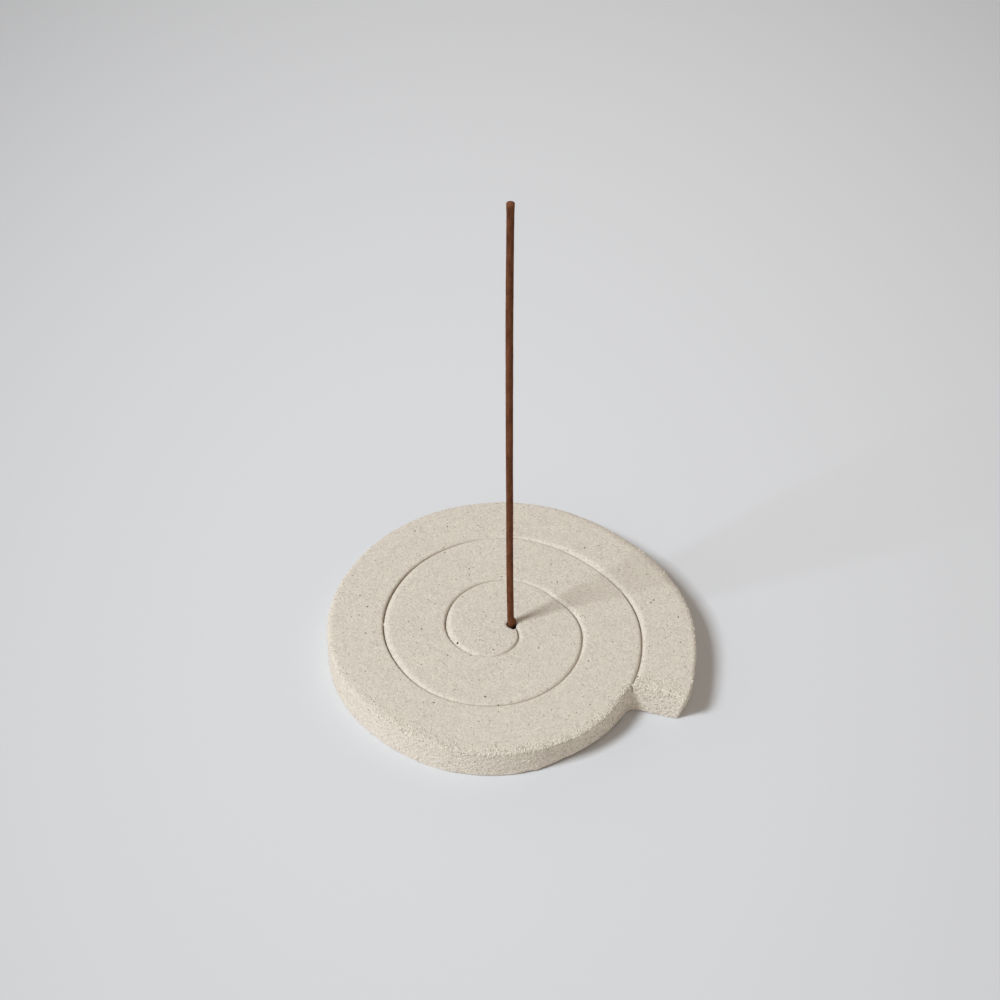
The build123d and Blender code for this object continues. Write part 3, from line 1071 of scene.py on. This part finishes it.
floor_mesh = bpy.data.meshes.new("floor")
floor_corners = FLOOR_REACH * np.array([(-1, -1, 0), (1, -1, 0), (1, 1, 0), (-1, 1, 0)])
floor_mesh.from_pydata(floor_corners.tolist(), [], [(0, 1, 2, 3)])
floor = place_object("floor", floor_mesh)
paper, sheet_nodes, paper_shader = matte("paper", roughness=1.0, sheen=0.0)
sheet_place = add_node(sheet_nodes, "TexCoord", {}).outputs["Object"]
paper_place = add_node(sheet_nodes, "Mapping", {
    "Vector": sheet_place,
    "Location": (*(-PAPER_CENTRE / PAPER_REACH), 0.0),
    "Scale": (*(1 / PAPER_REACH), 0.0),
}).outputs[0]
from_middle = add_node(
    sheet_nodes, "VectorMath", {0: paper_place, 1: paper_place}, operation="DOT_PRODUCT"
).outputs["Value"]
# Painted shade: the paper darkens in an ellipse away from its middle
shaded_paper_colour = blend_colours(sheet_nodes, from_middle, PAPER_MIDDLE, PAPER_FAR_SHADE)
sheet_nodes.links.new(shaded_paper_colour, paper_shader.inputs["Base Color"])


def seen_directly(tree):
    """1 for what the camera sees, also in a mirror or through glass, and 0 for light on a surface."""
    ray = add_node(tree, "LightPath", {})
    glossy = calculate(tree, "MAXIMUM", ray.outputs["Is Camera Ray"], ray.outputs["Is Glossy Ray"])
    return calculate(tree, "MAXIMUM", glossy, ray.outputs["Is Transmission Ray"])


from_object = add_node(sheet_nodes, "VectorMath", {0: sheet_place}, operation="LENGTH").outputs["Value"]
far_share = band(sheet_nodes, from_object, FADE_FROM, FADE_TO, 0.0, 1.0)
fade = calculate(sheet_nodes, "MULTIPLY", far_share, seen_directly(sheet_nodes))
far_paper = add_node(sheet_nodes, "Emission", {"Color": BACKDROP})
paper_mix = add_node(sheet_nodes, "MixShader", {0: fade, 1: paper_shader.outputs[0], 2: far_paper.outputs[0]})
sheet_nodes.links.new(paper_mix.outputs[0], sheet_nodes.nodes["Material Output"].inputs["Surface"])
floor_mesh.materials.append(paper)

world = bpy.data.worlds.new("even_light")
bpy.context.scene.world = world
world.use_nodes = True
sky = world.node_tree
sky_way = add_node(sky, "SeparateXYZ", {0: add_node(sky, "TexCoord", {}).outputs["Generated"]})
sky_level = add_node(
    sky, "MapRange", {0: sky_way.outputs[2], 1: 0.0, 2: 1.0, 3: SKY_LOW, 4: SKY_HIGH}
).outputs[0]
from_behind = add_node(
    sky, "MapRange", {0: sky_way.outputs[1], 1: -1.0, 2: 1.0, 3: 1 - SKY_BEHIND, 4: 1 + SKY_BEHIND}
).outputs[0]
sky_level = calculate(sky, "MULTIPLY", sky_level, from_behind)
sky.nodes["Background"].inputs["Color"].default_value = SKY_COLOUR
sky.links.new(sky_level, sky.nodes["Background"].inputs["Strength"])
backdrop = add_node(sky, "Background", {"Color": BACKDROP})
sky_mix = add_node(
    sky, "MixShader", {0: seen_directly(sky), 1: sky.nodes["Background"].outputs[0], 2: backdrop.outputs[0]}
)
sky.links.new(sky_mix.outputs[0], sky.nodes["World Output"].inputs["Surface"])

lamp_data = bpy.data.lights.new("window", "AREA")
lamp_data.shape = "RECTANGLE"
lamp_data.size = LAMP_WIDTH
lamp_data.size_y = LAMP_TALLNESS
lamp_data.energy = LAMP_POWER
lamp_data.color = LAMP_COLOUR
lamp = place_object("window", lamp_data)
lamp_direction = np.append(
    np.cos(np.radians(LAMP_HEIGHT)) * facing(LAMP_TURN / 360), np.sin(np.radians(LAMP_HEIGHT))
)
lamp.location = (LAMP_DISTANCE * lamp_direction).tolist()
lamp.rotation_euler = (
    np.pi / 2 - np.radians(LAMP_HEIGHT), 0, np.arctan2(lamp_direction[1], lamp_direction[0]) + np.pi / 2
)

camera_data = bpy.data.cameras.new("camera")
camera_data.sensor_width = SENSOR_WIDTH
camera_data.lens = SENSOR_WIDTH * CAMERA_FOCAL / PICTURE_SIDE
camera_data.clip_start = CLIP_START
camera = place_object("camera", camera_data)
camera.location = (camera_place * MM).tolist()
camera.rotation_euler = (np.pi / 2 - CAMERA_PITCH, 0, 0)
bpy.context.scene.camera = camera
bpy.context.scene.view_settings.view_transform = "Standard"
